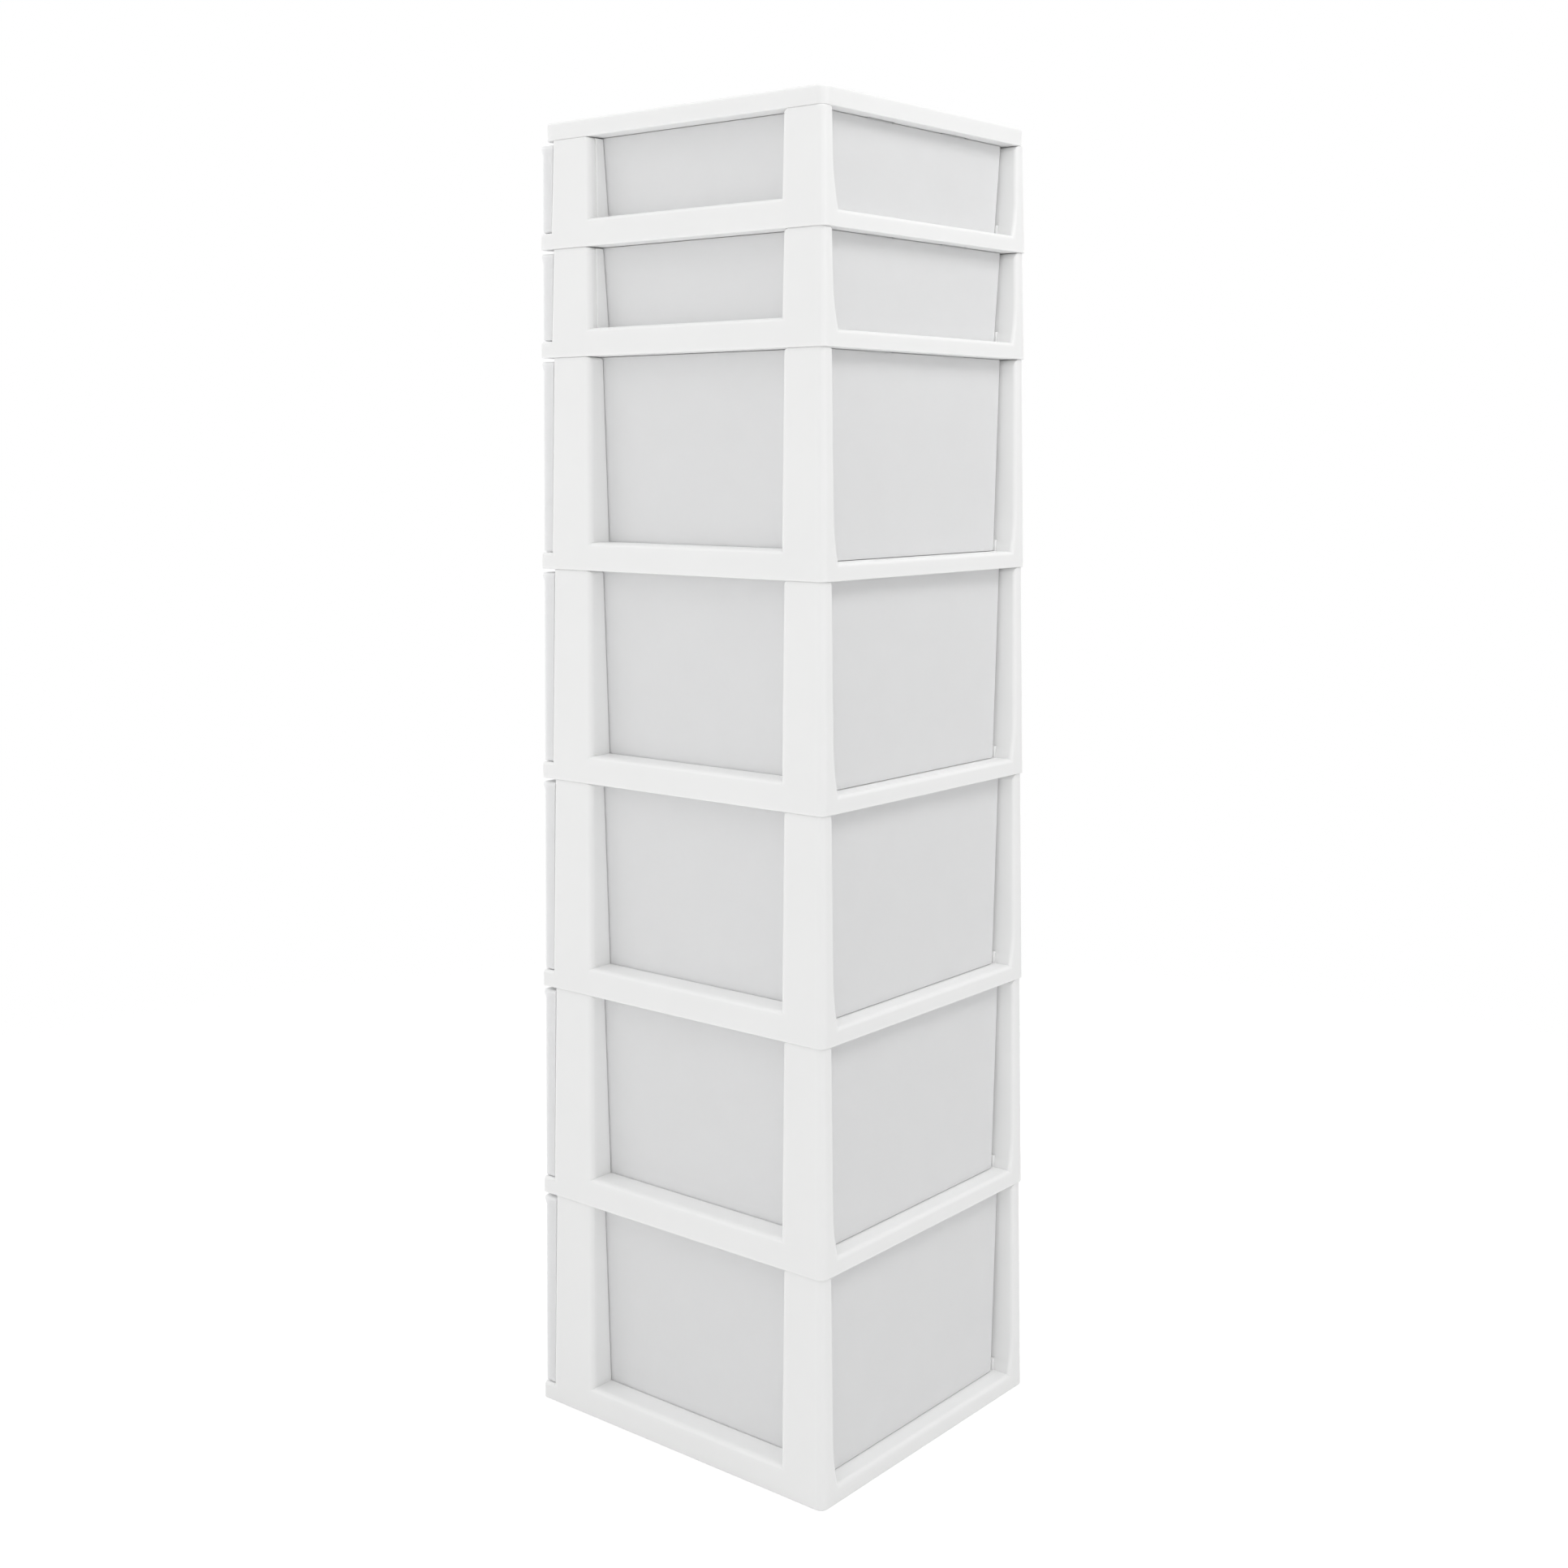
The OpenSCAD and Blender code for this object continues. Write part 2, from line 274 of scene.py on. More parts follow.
def bench(bm, name="bench"):
    """Puts a mesh in an object of its own, for a modifier to work on."""
    mesh = bpy.data.meshes.new(name)
    bm.to_mesh(mesh)
    bm.free()
    piece = bpy.data.objects.new(name, mesh)
    bpy.context.scene.collection.objects.link(piece)
    return piece


def off_bench(piece, *others):
    """Takes what the modifiers made of a bench object as a mesh, and clears the bench."""
    bpy.context.view_layer.update()
    depsgraph = bpy.context.evaluated_depsgraph_get()
    made = bpy.data.meshes.new_from_object(piece.evaluated_get(depsgraph))
    for used in (piece, *others):
        mesh = used.data
        bpy.data.objects.remove(used)
        bpy.data.meshes.remove(mesh)
    bm = bmesh.new()
    bm.from_mesh(made)
    bpy.data.meshes.remove(made)
    return bm


def rounded(bm, radii, segments=ROUND_STEPS):
    """Rounds edges, each to its own radius. radii is a list of (edges, radius)."""
    widest = max(radius for edges, radius in radii)
    weight = bm.edges.layers.float["bevel_weight_edge"]
    for edges, radius in radii:
        for edge in edges:
            edge[weight] = radius / widest
    piece = bench(bm)
    finish = piece.modifiers.new("round", "BEVEL")
    finish.limit_method = "WEIGHT"
    finish.width = widest
    finish.segments = segments
    finish.use_clamp_overlap = False
    return off_bench(piece)


def shell(bm, thickness):
    """Gives an open box walls, on the inside."""
    piece = bench(bm)
    wall = piece.modifiers.new("wall", "SOLIDIFY")
    wall.thickness = thickness
    wall.offset = -1
    wall.use_even_offset = True
    return off_bench(piece)


def joined(shape, *others):
    """Joins closed shapes that reach into each other to one."""
    piece, *others = [bench(bm) for bm in (shape, *others)]
    for other in others:
        step = piece.modifiers.new("join", "BOOLEAN")
        step.operation = "UNION"
        step.solver = "MANIFOLD"
        step.object = other
    return off_bench(piece, *others)


# ---------------------------------------------------------------- tier frames

def hollow_underside(bm, foot, floor_under):
    """Hollows a plate from below and leaves its skirt, ribs, stop rib and sockets."""
    inner = ((-HALF_W, LIP_Y, 0), (HALF_W, BACK_Y, 0))
    bmesh.ops.inset_region(bm, faces=at_height(bm.faces, 0), thickness=WALL - foot,
                           use_even_offset=True)
    cut_across(bm, 0, [
        *sides_of((-RIB_X, 0, RIB_X), RIB_T / 2), *sides_of((-TAB_X, TAB_X), TAB_PATH_HALF),
        *(side * x for side in (-1, 1) for x in SOCKET_X), HOLLOW_HALF, -HOLLOW_HALF], *inner)
    cut_across(bm, 1, [
        *sides_of((-RIB_Y, RIB_Y), RIB_T / 2),
        *sides_of((REAR_SPIGOT_Y, FRONT_SPIGOT_Y), SOCKET_HALF_D),
        STOP_Y, STOP_Y - WALL, STRIP_Y, TAB_PATH_Y], *inner)
    cells = [f for f in picked(bm.faces, *inner) if in_socket(f) or not in_edge_strip(f)]
    cells = [f for f in push(bm, cells, (0, 0, STOP_LOW)) if not in_stop_rib(f)]
    cells = push(bm, cells, (0, 0, floor_under - RIB_DROP - STOP_LOW))
    push(bm, [f for f in cells if not in_rib(f)], (0, 0, RIB_DROP))


def in_socket(face):
    """True for the opening that takes a post's spigot."""
    x, y, _ = face.calc_center_median()
    reach = min(abs(y - REAR_SPIGOT_Y), abs(y - FRONT_SPIGOT_Y))
    return SOCKET_X[0] < abs(x) < SOCKET_X[1] and reach < SOCKET_HALF_D


def in_edge_strip(face):
    """True for the skirt's lower edge and the closed strips outside the drawer's rim."""
    x, y, _ = face.calc_center_median()
    strip_y = TAB_PATH_Y if abs(abs(x) - TAB_X) < TAB_PATH_HALF else STRIP_Y
    return abs(x) > HOLLOW_HALF or y > strip_y or y < LIP_Y + WALL


def in_stop_rib(face):
    """True for a cell of the rib that stops the drawer's tabs."""
    x, y, _ = face.calc_center_median()
    return STOP_Y - WALL < y < STOP_Y and abs(x) < HOLLOW_HALF


def in_rib(face):
    """True for a cell of the ribs that stiffen the shelf."""
    x, y, _ = face.calc_center_median()
    along = abs(x) < RIB_T / 2 or abs(abs(x) - RIB_X) < RIB_T / 2
    across = abs(abs(y) - RIB_Y) < RIB_T / 2
    return (along or across) and abs(x) < HOLLOW_HALF


def guide(side, edge_y, end, high):
    """A guide that stands a little proud of a post, where the post faces a side window."""
    xs = sorted((side * POST_IN_X, side * GUIDE_X))
    ys = sorted((edge_y - end * WALL / 2, edge_y + end * GUIDE_RISE))
    return block((xs[0], ys[0], RAIL_H), (xs[1], ys[1], high))


def raise_spigots(bm, pitch):
    """Raises the spigots on the four post tops."""
    for top in at_height(bm.faces, pitch):
        x, y, _ = top.calc_center_median()
        spigot_x = math.copysign(SPIGOT_X, x)
        spigot_y = REAR_SPIGOT_Y if y > 0 else FRONT_SPIGOT_Y
        bmesh.ops.inset_individual(bm, faces=[top], thickness=SPIGOT_INSET)
        for axis, middle, size in ((0, spigot_x, SPIGOT_W), (1, spigot_y, SPIGOT_D)):
            places = [v.co[axis] for v in top.verts]
            low, high = min(places), max(places)
            for v in top.verts:
                v.co[axis] = middle + (v.co[axis] - (low + high) / 2) * size / (high - low)
        push(bm, [top], (0, 0, SPIGOT_H))


def tub_half(z, pitch):
    """Half the width of the drawer's tub at a height."""
    share = (z - DRAWER_LOW) / (pitch - RIM_GAP - DRAWER_LOW)
    return TUB_LOW_HALF + (TUB_TOP_HALF - TUB_LOW_HALF) * min(1, share)


def draft(place, low, high, amount):
    """How far the mould's taper moves a place, from amount at low to -amount at high."""
    middle, half = (low + high) / 2, (high - low) / 2
    return -max(-1, min(1, (place - middle) / half)) * amount


def draw_in(bm, pitch):
    """Tapers a frame for its mould, closes its posts up to the drawer and flares the rear feet."""
    for v in bm.verts:
        x, y, z = abs(v.co.x), v.co.y, v.co.z
        share = min(1, z / pitch)
        on_post = x > POST_IN_X - TINY
        closed = inward = 0
        if y > REAR_EDGE_Y - GUIDE_RISE - TINY:
            v.co.y += draft(y, REAR_EDGE_Y, BACK_Y, DEPTH_DRAFT) * share
            closed = min(1, (BACK_Y - y) / (BACK_Y - REAR_EDGE_Y))
        elif POST_FRONT_Y - TINY < y < FRONT_EDGE_Y + GUIDE_RISE + TINY:
            v.co.y += draft(y, POST_FRONT_Y, FRONT_EDGE_Y, DEPTH_DRAFT) * share
            closed = 1
        if on_post and z > RAIL_H - TINY:
            near = max(0, 1 - (x - POST_IN_X) / (POST_W / 2))
            room = POST_IN_X + SIDE_DRAFT * share - tub_half(z, pitch) - POST_GAP
            inward = closed * near * room
        if y > RAIL_BACK_Y - TINY and x > POST_IN_X - FLARE_REACH and z > FLOOR_H - FLARE_REACH:
            near = max(0, min(1, 2 - 2 * (x - POST_IN_X) / POST_W))
            low_down = max(0, 1 - max(0, z - FLOOR_H) / FLARE_H)
            inward = max(inward, near * FLARE * low_down ** 2)
        if on_post:
            inward -= draft(x, POST_IN_X, HALF_W, SIDE_DRAFT) * share
        v.co.x = math.copysign(x - inward, v.co.x)


def raw_frame(pitch):
    """A frame with sharp edges: a plate, with rails and four posts pushed up from it."""
    bm = block((0, LIP_Y, 0), (HALF_W, BACK_Y, FLOOR_H))
    corner = picked(bm.edges, (HALF_W, BACK_Y, 0), (HALF_W, BACK_Y, FLOOR_H))
    bevel(bm, corner, CORNER_R, CORNER_STEPS)
    lip_end = picked(bm.edges, (HALF_W, LIP_Y, 0), (HALF_W, LIP_Y, FLOOR_H))
    bevel(bm, lip_end, LIP_END_R, LIP_END_STEPS)
    cut_across(bm, 1, [POST_FRONT_Y, FRONT_EDGE_Y, REAR_EDGE_Y, RAIL_BACK_Y])
    rail_in_x = tub_half(RAIL_H, pitch) + RAIL_GAP
    cut_across(bm, 0, [rail_in_x, POST_IN_X])
    beside = picked(bm.faces, (rail_in_x, POST_FRONT_Y, FLOOR_H), (HALF_W, RAIL_BACK_Y, FLOOR_H))
    behind = picked(bm.faces, (POST_IN_X, RAIL_BACK_Y, FLOOR_H), (HALF_W, BACK_Y, FLOOR_H))
    push(bm, beside + behind, (0, 0, RAIL_H - FLOOR_H))
    front = picked(bm.faces, (POST_IN_X, POST_FRONT_Y, RAIL_H), (HALF_W, FRONT_EDGE_Y, RAIL_H))
    rear = picked(bm.faces, (POST_IN_X, REAR_EDGE_Y, RAIL_H), (HALF_W, BACK_Y, RAIL_H))
    push(bm, front + rear, (0, 0, pitch - RAIL_H))
    whole(bm)
    return bm


def frame_radii(bm, pitch):
    """The edges of a raw frame that are rounded, and their radii. A later radius holds."""
    def at(low, high):
        """The sharp edges inside a box and inside its mirror image."""
        flip = (-high[0], low[1], low[2]), (-low[0], high[1], high[2])
        return sharp([*picked(bm.edges, low, high), *picked(bm.edges, *flip)])

    uprights = [
        *at((HALF_W, FRONT_EDGE_Y, RAIL_H), (HALF_W, FRONT_EDGE_Y, pitch)),
        *at((HALF_W, REAR_EDGE_Y, RAIL_H), (HALF_W, REAR_EDGE_Y, pitch)),
    ]
    windows = [
        *at((HALF_W, FRONT_EDGE_Y, RAIL_H), (HALF_W, REAR_EDGE_Y, RAIL_H)),
        *at((POST_IN_X, BACK_Y, FLOOR_H), (POST_IN_X, BACK_Y, pitch)),
        *at((-POST_IN_X, BACK_Y, FLOOR_H), (POST_IN_X, BACK_Y, FLOOR_H)),
    ]
    fronts = [
        *at((HALF_W, POST_FRONT_Y, FLOOR_H), (HALF_W, POST_FRONT_Y, pitch)),
        *at((POST_IN_X, POST_FRONT_Y, RAIL_H), (POST_IN_X, POST_FRONT_Y, pitch)),
    ]
    lip = [e for e in at((-HALF_W, LIP_Y, FLOOR_H), (HALF_W, POST_FRONT_Y, FLOOR_H))
           if min(v.co.y for v in e.verts) < POST_FRONT_Y - TINY]
    shoulders = [
        *at((POST_IN_X, FRONT_EDGE_Y, pitch), (HALF_W, FRONT_EDGE_Y, pitch)),
        *at((POST_IN_X, REAR_EDGE_Y, pitch), (HALF_W, REAR_EDGE_Y, pitch)),
        *at((POST_IN_X, REAR_EDGE_Y, pitch), (POST_IN_X, BACK_Y, pitch)),
    ]
    tops = [e for e in sharp(at_height(bm.edges, pitch)) if e not in shoulders]
    foot = sharp(at_height(bm.edges, 0))
    return [(foot, FOOT_R), (tops, SEAM_R), (windows, WINDOW_R), (fronts, POST_EDGE_R),
            (lip, LIP_R), (shoulders, POST_SHOULDER_R), (uprights, POST_WINDOW_R)]


def tier_frame(tier):
    """A shelf with side rails and four posts, moulded in one."""
    pitch = PITCH[tier]
    bm = raw_frame(pitch)
    bm = rounded(bm, frame_radii(bm, pitch))
    join_flats(bm)
    foot_z = FLOOR_H - FLARE_REACH
    rows = [FLOOR_H + FLARE_H * (k + 1) / FLARE_STEPS for k in range(FLARE_STEPS)]
    for low_x, high_x in ((-HALF_W, -POST_IN_X), (POST_IN_X, HALF_W)):
        cut_across(bm, 2, rows, (low_x, REAR_EDGE_Y, foot_z), (high_x, BACK_Y, pitch))
    hollow_underside(bm, FOOT_R, FLOOR_H - FLOOR_T)
    raise_spigots(bm, pitch)
    if pitch < SHALLOW:
        guides = [guide(side, edge_y, end, pitch - WALL / 2)
                  for side in (-1, 1) for edge_y, end in ((FRONT_EDGE_Y, 1), (REAR_EDGE_Y, -1))]
        bm = joined(bm, *guides)
    draw_in(bm, pitch)
    join_flats(bm)
    bmesh.ops.translate(bm, verts=bm.verts, vec=(0, 0, LEVEL[tier]))
    return bm


def plate():
    """The top plate, hollow from below like the shelves."""
    height = PLATE_HIGH.z - PLATE_LOW.z
    bm = block((0, PLATE_LOW.y, 0), (PLATE_HIGH.x, PLATE_HIGH.y, height))
    for y in (PLATE_LOW.y, PLATE_HIGH.y):
        corner = picked(bm.edges, (PLATE_HIGH.x, y, 0), (PLATE_HIGH.x, y, height))
        bevel(bm, corner, PLATE_CORNER_R, CORNER_STEPS)
    whole(bm)
    top, foot = sharp(at_height(bm.edges, height)), sharp(at_height(bm.edges, 0))
    bm = rounded(bm, [(top, PLATE_EDGE_R), (foot, FOOT_R)])
    join_flats(bm)
    hollow_underside(bm, FOOT_R, height - PLATE_T)
    join_flats(bm)
    bmesh.ops.translate(bm, verts=bm.verts, vec=(0, 0, PLATE_LOW.z))
    return bm


# ---------------------------------------------------------------- drawers

def tub(rim, front_top):
    """The drawer's body, an open box with sloping walls."""
    bm = block((-TUB_TOP_HALF, TUB_FORE_Y, DRAWER_LOW), (TUB_TOP_HALF, TUB_TOP_BACK, rim))
    for v in bm.verts:
        if v.co.z < DRAWER_LOW + TINY:
            v.co.x = math.copysign(TUB_LOW_HALF, v.co.x)
            v.co.y = min(v.co.y, TUB_LOW_BACK)
    corners = [e for e in bm.edges if min(v.co.y for v in e.verts) > TUB_LOW_BACK - TINY
               and abs(e.verts[0].co.z - e.verts[1].co.z) > TINY]
    bevel(bm, corners, TUB_CORNER_R, CORNER_STEPS)
    cut_across(bm, 1, [FLANGE_BACK_Y, FLANGE_BACK_Y + FRONT_TOP_GAP])
    foot = [e for e in sharp(at_height(bm.edges, DRAWER_LOW))
            if max(v.co.y for v in e.verts) > TUB_FORE_Y + TINY]
    bevel(bm, foot, TUB_FOOT_R)
    bmesh.ops.delete(bm, geom=at_height(bm.faces, rim), context="FACES")
    for v in bm.verts:
        if v.co.z > rim - TINY and v.co.y < FLANGE_BACK_Y + TINY:
            v.co.z = front_top - FLANGE_T / 2
    bm = shell(bm, DRAWER_WALL)
    rims = [e for e in sharp(bm.edges) if min(v.co.z for v in e.verts) > front_top - FLANGE_T
            and max(v.co.y for v in e.verts) > TUB_FORE_Y + DRAWER_WALL]
    return rounded(bm, [(rims, RIM_R)], RIM_STEPS)


def panel(front_top, pitch):
    """The drawer's front, with a pull lip, a finger dish and a flange round its back."""
    bm = block((-PANEL_HALF, PANEL_FRONT_Y, DRAWER_LOW), (PANEL_HALF, FLANGE_BACK_Y, front_top))
    back = picked(bm.faces, (-FAR, FLANGE_BACK_Y, -FAR), (FAR, FLANGE_BACK_Y, FAR))
    bmesh.ops.inset_region(bm, faces=back, thickness=FLANGE_T, use_even_offset=True)
    push(bm, back, (0, PANEL_FRONT_Y + PANEL_T - FLANGE_BACK_Y, 0))
    cut_across(bm, 2, [front_top - PULL_H, front_top - PULL_EDGE_H],
               (-PANEL_HALF, PANEL_FRONT_Y, 0), (PANEL_HALF, FLANGE_BACK_Y, front_top))
    for v in bm.verts:
        if v.co.y < PANEL_FRONT_Y + TINY and v.co.z > front_top - PULL_EDGE_H - TINY:
            v.co.y -= PULL_REACH
    edges = sharp(bm.edges)
    xs, zs = (-PANEL_HALF, PANEL_HALF), (DRAWER_LOW, front_top)
    sides = [e for x in xs for e in picked(edges, (x, -FAR, -FAR), (x, PANEL_FRONT_Y, FAR))]
    ends = [e for z in zs for e in picked(edges, (-FAR, -FAR, z), (FAR, PANEL_FRONT_Y, z))]
    corners = [e for x in xs for z in zs for e in picked(edges, (x, -FAR, z), (x, FAR, z))]
    bm = rounded(bm, [(sides + ends, PANEL_EDGE_R), (corners, PANEL_CORNER_R)])
    press_dish(bm, front_top)
    for v in bm.verts:
        if v.co.y > FLANGE_BACK_Y - TINY:
            v.co.y += DEPTH_DRAFT * v.co.z / pitch
    return bm


def dish_depth(x, z, middle):
    """How deep the finger dish is at a place on the front."""
    radius = ((DISH_H / 2) ** 2 + DISH_DEPTH ** 2) / (2 * DISH_DEPTH)
    depth = math.sqrt(max(0, radius ** 2 - (z - middle) ** 2)) - (radius - DISH_DEPTH)
    share = max(0, min(1, (DISH_W / 2 - abs(x)) / DISH_END))
    return max(0, depth) * math.sin(share * math.pi / 2)


def dish_middle(front_top):
    """The height of the finger dish's middle."""
    return front_top - PULL_H - DISH_H / 2


def press_dish(bm, front_top):
    """Presses the finger dish into the front face."""
    middle = dish_middle(front_top)
    columns = [side * (DISH_W / 2 - DISH_END * k / DISH_STEPS)
               for side in (-1, 1) for k in range(DISH_STEPS + 1)]
    rows = [middle + DISH_H / 2 * math.sin(math.pi / 2 * k / DISH_STEPS)
            for k in range(-DISH_STEPS, DISH_STEPS + 1)]
    for axis, places, half in ((0, columns, PANEL_HALF), (2, rows, DISH_W / 2)):
        cut_across(bm, axis, places, (-half, PANEL_FRONT_Y, DRAWER_LOW),
                   (half, PANEL_FRONT_Y, front_top))
    for v in bm.verts:
        if abs(v.co.y - PANEL_FRONT_Y) < TINY:
            v.co.y += dish_depth(v.co.x, v.co.z, middle)


def dish_back(front_top):
    """The bulge behind the finger dish."""
    middle = dish_middle(front_top)
    rear = PANEL_FRONT_Y + PANEL_T + DISH_DEPTH
    bm = block((-DISH_W / 2 - WALL, DISH_FORE_Y, middle - DISH_H / 2 - WALL),
               (DISH_W / 2 + WALL, rear, middle + DISH_H / 2 + WALL / 2))
    edges = picked(sharp(bm.edges), (-FAR, rear, -FAR), (FAR, FAR, FAR))
    return rounded(bm, [(edges, DISH_DEPTH)])


def stop_tab(side, rim, pitch):
    """A tab that rises from the back wall and stops the drawer at the frame above."""
    bm = block((side * TAB_X - TAB_W / 2, TUB_TOP_BACK - DRAWER_WALL, rim - TAB_ROOT),
               (side * TAB_X + TAB_W / 2, TUB_TOP_BACK - TAB_ROOT, pitch + TAB_RISE))
    tops = [e for e in at_height(bm.edges, pitch + TAB_RISE)
            if abs(e.verts[0].co.y - e.verts[1].co.y) > TINY]
    bevel(bm, tops, TAB_R)
    return bm


def tier_drawer(tier):
    """An open tub with a flanged front panel, moulded in one."""
    pitch = PITCH[tier]
    rim, front_top = pitch - RIM_GAP, pitch - FRONT_TOP_GAP
    bm = joined(tub(rim, front_top), panel(front_top, pitch), dish_back(front_top),
                stop_tab(-1, rim, pitch), stop_tab(1, rim, pitch))
    bmesh.ops.translate(bm, verts=bm.verts, vec=(0, 0, LEVEL[tier]))
    return bm


# ---------------------------------------------------------------- materials

class Amount:
    """A socket that holds a number, with Python's operators."""

    def __init__(self, nodes, socket):
        self.nodes, self.socket = nodes, socket

    def work(self, operation, other):
        """The socket of a new Math node that works on this amount and another."""
        node = self.nodes.add("ShaderNodeMath", {"operation": operation}, {0: self, 1: other})
        return Amount(self.nodes, node.outputs[0])

    def __add__(self, other):
        return self.work("ADD", other)

    def __mul__(self, other):
        return self.work("MULTIPLY", other)

    __radd__, __rmul__ = __add__, __mul__


class Nodes:
    """A node tree, and the one method that adds its nodes."""

    def __init__(self, tree):
        self.tree = tree

    def add(self, kind, settings=None, sockets=None):
        """Adds a node, makes its settings and then gives its sockets values or links."""
        node = self.tree.nodes.new(kind)
        for name, value in (settings or {}).items():
            setattr(node, name, value)
        self.set(node, sockets or {})
        return node

    def set(self, node, sockets):
        """Gives a node's sockets values or links."""
        for name, value in sockets.items():
            if isinstance(value, Amount):
                value = value.socket
            if isinstance(value, bpy.types.NodeSocket):
                self.tree.links.new(value, node.inputs[name])
            else:
                node.inputs[name].default_value = value

    def noise(self, size, detail, rough=0.5):
        """Noise from 0 to 1 whose patches are about size metres across."""
        place = self.add("ShaderNodeTexCoord")
        node = self.add("ShaderNodeTexNoise", None, {
            "Vector": place.outputs["Object"], "Scale": 1 / size,
            "Detail": detail, "Roughness": rough})
        return Amount(self, node.outputs[0])

    def tint(self, amount, dark, light):
        """A colour between dark and light."""
        node = self.add("ShaderNodeMix", {"data_type": "RGBA"}, {
            0: amount, 6: (*dark, 1), 7: (*light, 1)})
        return node.outputs[2]

    def grain(self, height, depth):
        """A relief of that depth in metres, for Normal."""
        node = self.add("ShaderNodeBump", None, {
            "Height": height, "Distance": depth, "Strength": 1.0})
        return node.outputs[0]

    def mix(self, amount, first, second):
        """A shader between two others."""
        node = self.add("ShaderNodeMixShader", None, {
            0: amount, 1: first.outputs[0], 2: second.outputs[0]})
        return node

    def seen_directly(self):
        """1 for what the camera, a mirror or glass sees, and 0 for what lights a surface."""
        path = self.add("ShaderNodeLightPath")
        camera, mirror, glass = [Amount(self, path.outputs[f"Is {kind} Ray"])
                                 for kind in ("Camera", "Glossy", "Transmission")]
        return camera + mirror + glass


class Finish(Nodes):
    """A material with its node tree."""

    def __init__(self, name):
        self.material = bpy.data.materials.new(name)
        self.material.use_nodes = True
        super().__init__(self.material.node_tree)
        self.shader = self.tree.nodes["Principled BSDF"]


def white_plastic():
    """Satin white polypropylene with a fine moulded grain."""
    finish = Finish("frame_white")
    cloud = finish.noise(60 * MM, detail=3)
    pebble = finish.noise(0.7 * MM, detail=2, rough=0.6)
    finish.set(finish.shader, {
        "Base Color": finish.tint(cloud, *WHITE_TONES),
        "Subsurface Weight": 1.0,
        "Subsurface Radius": (1.0, 1.0, 1.0),
        "Subsurface Scale": WHITE_DEPTH,
        "Roughness": 0.40 + cloud * 0.06 + pebble * 0.06,
        "Normal": finish.grain(pebble, 0.012 * MM),
        "IOR": PLASTIC_IOR,
    })
    return finish.material


def frosted_plastic():
    """Frosted light grey polypropylene that lets some light through."""
    finish = Finish("drawer_frosted")
    cloud = finish.noise(45 * MM, detail=3)
    frost = finish.noise(0.45 * MM, detail=3, rough=0.7)
    finish.set(finish.shader, {
        "Base Color": finish.tint(cloud, *FROSTED_TONES),
        "Subsurface Weight": 1.0,
        "Subsurface Radius": (1.0, 1.0, 1.0),
        "Subsurface Scale": FROSTED_DEPTH,
        "Roughness": 0.50 + frost * 0.14,
        "Normal": finish.grain(frost, 0.015 * MM),
        "IOR": PLASTIC_IOR,
    })
    return finish.material


# ---------------------------------------------------------------- the tower

def place_piece(name, bm, material, node, body):
    """Makes a finished piece of a mesh and puts it in place of its CAD node."""
    mesh = bpy.data.meshes.new(name)
    bm.to_mesh(mesh)
    bm.free()
    mesh.materials.append(material)
    mesh.polygons.foreach_set("use_smooth", [True] * len(mesh.polygons))
    mesh.set_sharp_from_angle(angle=CREASE_ANGLE)
    piece = bpy.data.objects.new(name, mesh)
    bpy.context.scene.collection.objects.link(piece)
    evened = piece.modifiers.new("even_normals", "WEIGHTED_NORMAL")
    evened.keep_sharp = True
    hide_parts(node)
    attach(piece, body)


white = white_plastic()
frosted = frosted_plastic()
place_piece("lid_plate", plate(), white, "top_plate", "tower")
for tier in TIERS:
    place_piece(f"shelf_frame_{tier}", tier_frame(tier), white, f"frame_{tier}",
                "tower")
    place_piece(f"frosted_drawer_{tier}", tier_drawer(tier), frosted, f"drawer_{tier}",
                f"drawer_body_{tier}")


# ---------------------------------------------------------------- studio

def grey(value):
    """A grey, for a Color socket."""
    return value, value, value, 1


def make_world():
    """A surround, seen as plain white, that lights the tower softly and more from one side."""
    world = bpy.data.worlds.new("surround")
    bpy.context.scene.world = world
    world.use_nodes = True
    nodes = Nodes(world.node_tree)
    direction = nodes.add("ShaderNodeTexCoord")
    lean = nodes.add("ShaderNodeVectorMath", {"operation": "DOT_PRODUCT"}, {
        0: direction.outputs["Generated"], 1: SURROUND_LEAN})
    strength = SURROUND_LIGHT + Amount(nodes, lean.outputs["Value"])
    lit = nodes.add("ShaderNodeBackground", None, {"Color": grey(1), "Strength": strength})
    seen = nodes.add("ShaderNodeBackground", None, {"Color": grey(1), "Strength": 1})
    shown = nodes.mix(nodes.seen_directly(), lit, seen)
    nodes.set(nodes.tree.nodes["World Output"], {"Surface": shown.outputs[0]})


def lamp(name, place, aim, size, power):
    """A soft square lamp that shines from place to aim, with its power in watts."""
    data = bpy.data.lights.new(name, "AREA")
    data.shape = "SQUARE"
    data.size = size
    data.energy = power
    light = bpy.data.objects.new(name, data)
    light.visible_camera = False
    light.location = place
    light.rotation_mode = "QUATERNION"
    light.rotation_quaternion = (Vector(aim) - Vector(place)).to_track_quat("-Z", "Y")
    bpy.context.scene.collection.objects.link(light)


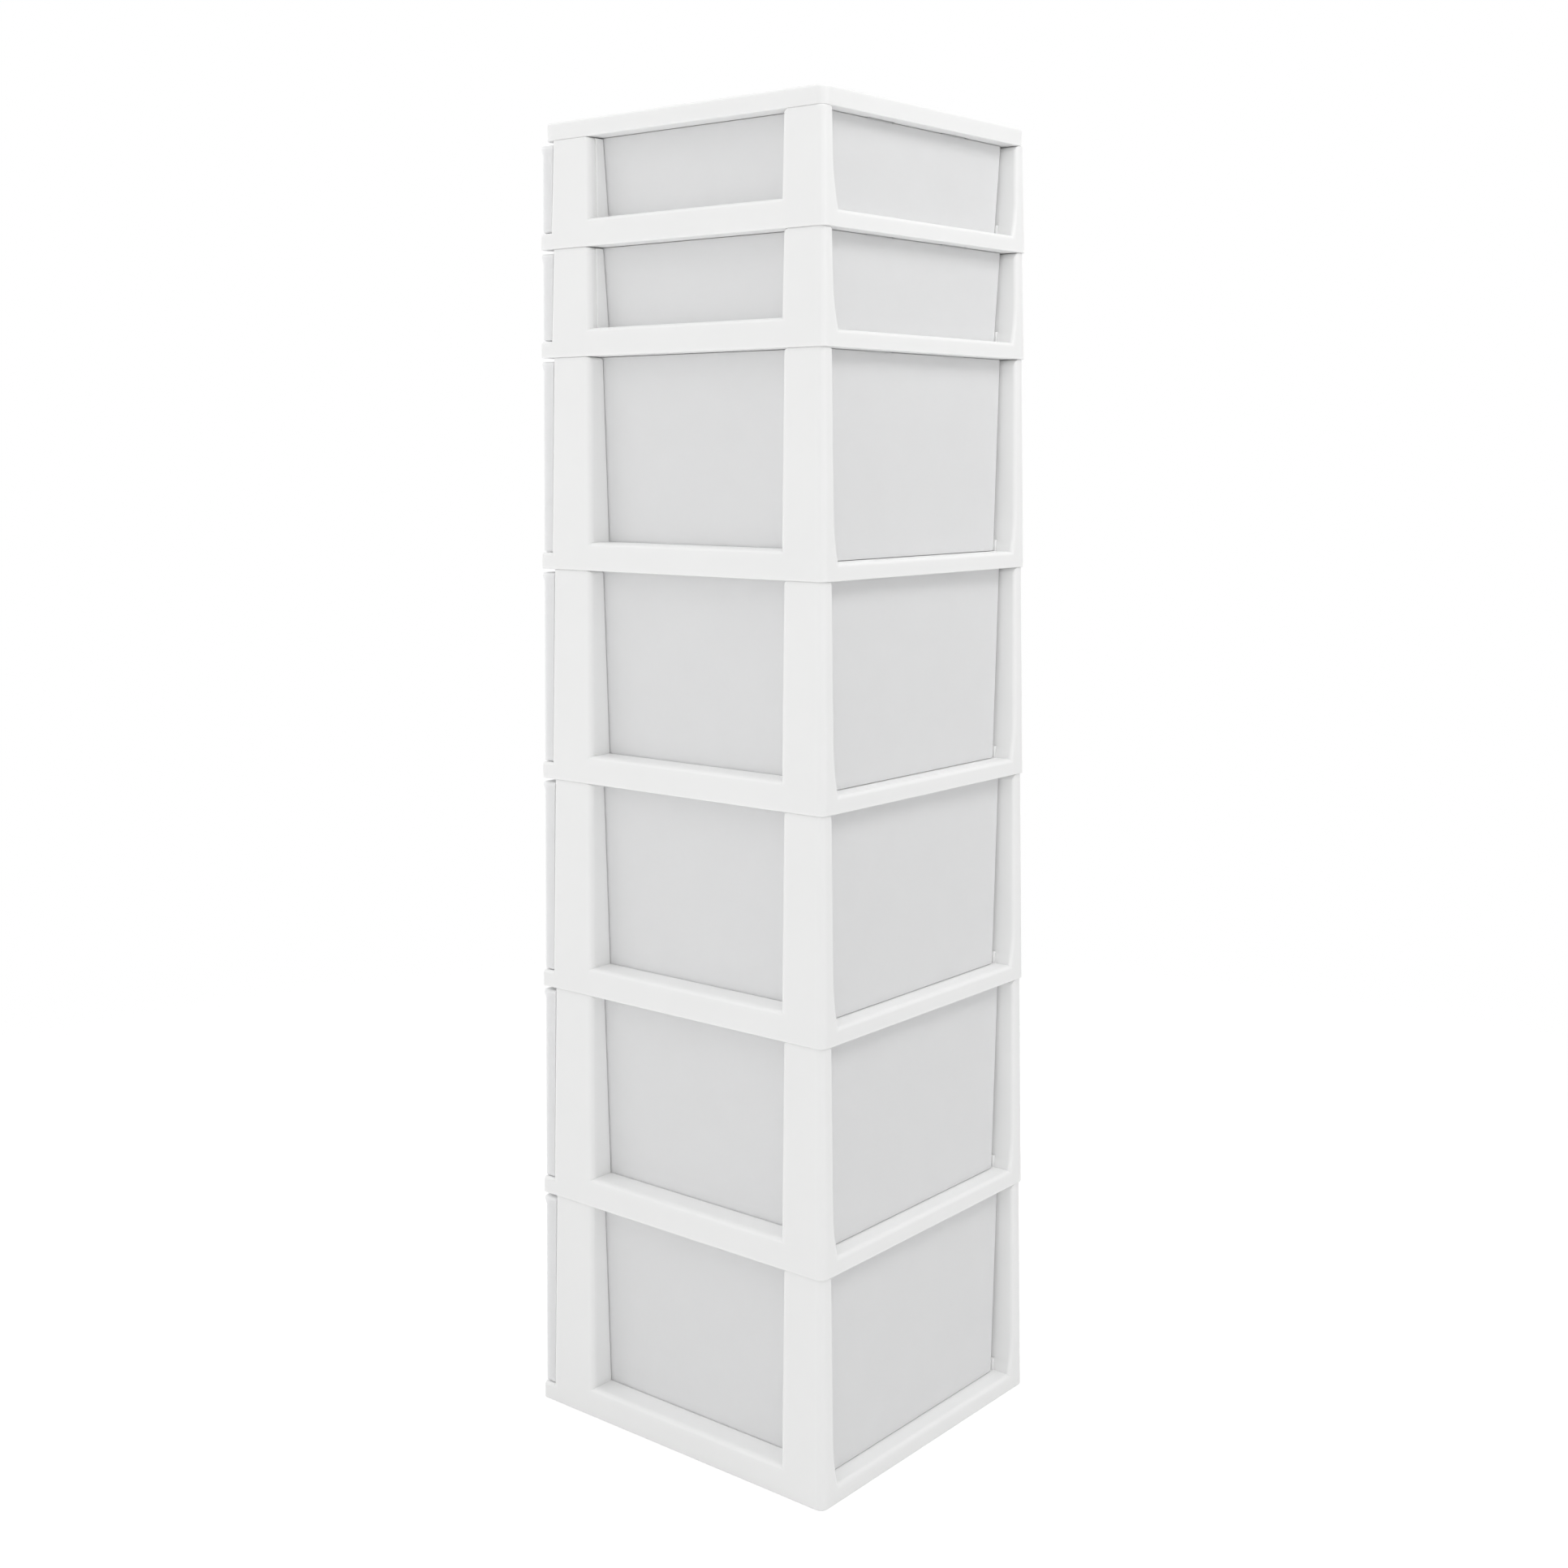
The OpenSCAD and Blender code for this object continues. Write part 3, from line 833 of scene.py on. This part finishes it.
def make_floor():
    """A round pale floor that keeps the tower's shadow and fades out to the white surround."""
    bm = bmesh.new()
    bmesh.ops.create_circle(bm, cap_ends=True, segments=FLOOR_STEPS, radius=FLOOR_R)
    floor = bench(bm, "floor")
    finish = Finish("floor_white")
    finish.tree.nodes.remove(finish.shader)
    place = finish.add("ShaderNodeTexCoord")
    reach = finish.add("ShaderNodeVectorMath", {"operation": "LENGTH"}, {
        0: place.outputs["Object"]})
    fade = finish.add("ShaderNodeMapRange", {"interpolation_type": "SMOOTHSTEP"}, {
        "Value": reach.outputs["Value"], "From Min": FLOOR_FADE[0], "From Max": FLOOR_FADE[1]})
    diffuse = finish.add("ShaderNodeBsdfDiffuse", None, {"Color": grey(FLOOR_GREY)})
    shade = finish.add("ShaderNodeBsdfDiffuse", None, {"Color": grey(FLOOR_SHADE)})
    glow = finish.add("ShaderNodeEmission", None, {"Color": grey(FLOOR_GLOW)})
    seen = finish.add("ShaderNodeAddShader", None, {0: shade.outputs[0], 1: glow.outputs[0]})
    solid = finish.mix(finish.seen_directly(), diffuse, seen)
    faded = finish.mix(fade.outputs[0], solid, finish.add("ShaderNodeBsdfTransparent"))
    finish.set(finish.tree.nodes["Material Output"], {"Surface": faded.outputs[0]})
    floor.data.materials.append(finish.material)


def make_camera():
    """A camera off the rear right-hand corner, at three quarters of the tower's height."""
    data = bpy.data.cameras.new("camera")
    data.sensor_width = SENSOR
    data.lens = LENS
    data.shift_y = CAMERA_SHIFT
    camera = bpy.data.objects.new("camera", data)
    camera.location = CAMERA_PLACE
    camera.rotation_euler = (math.radians(90 + CAMERA_TILT), 0, math.radians(180 - CAMERA_YAW))
    bpy.context.scene.collection.objects.link(camera)
    bpy.context.scene.camera = camera


make_camera()
make_floor()
make_world()
lamp("left", place=(1.5, -1.8, 2.7), aim=(0, 0, 0.5), size=1.0, power=5.3)
lamp("right", place=(-0.3, 1.5, 2.1), aim=(0, 0, 1.0), size=0.9, power=12.2)
bpy.context.scene.view_settings.view_transform = "Standard"
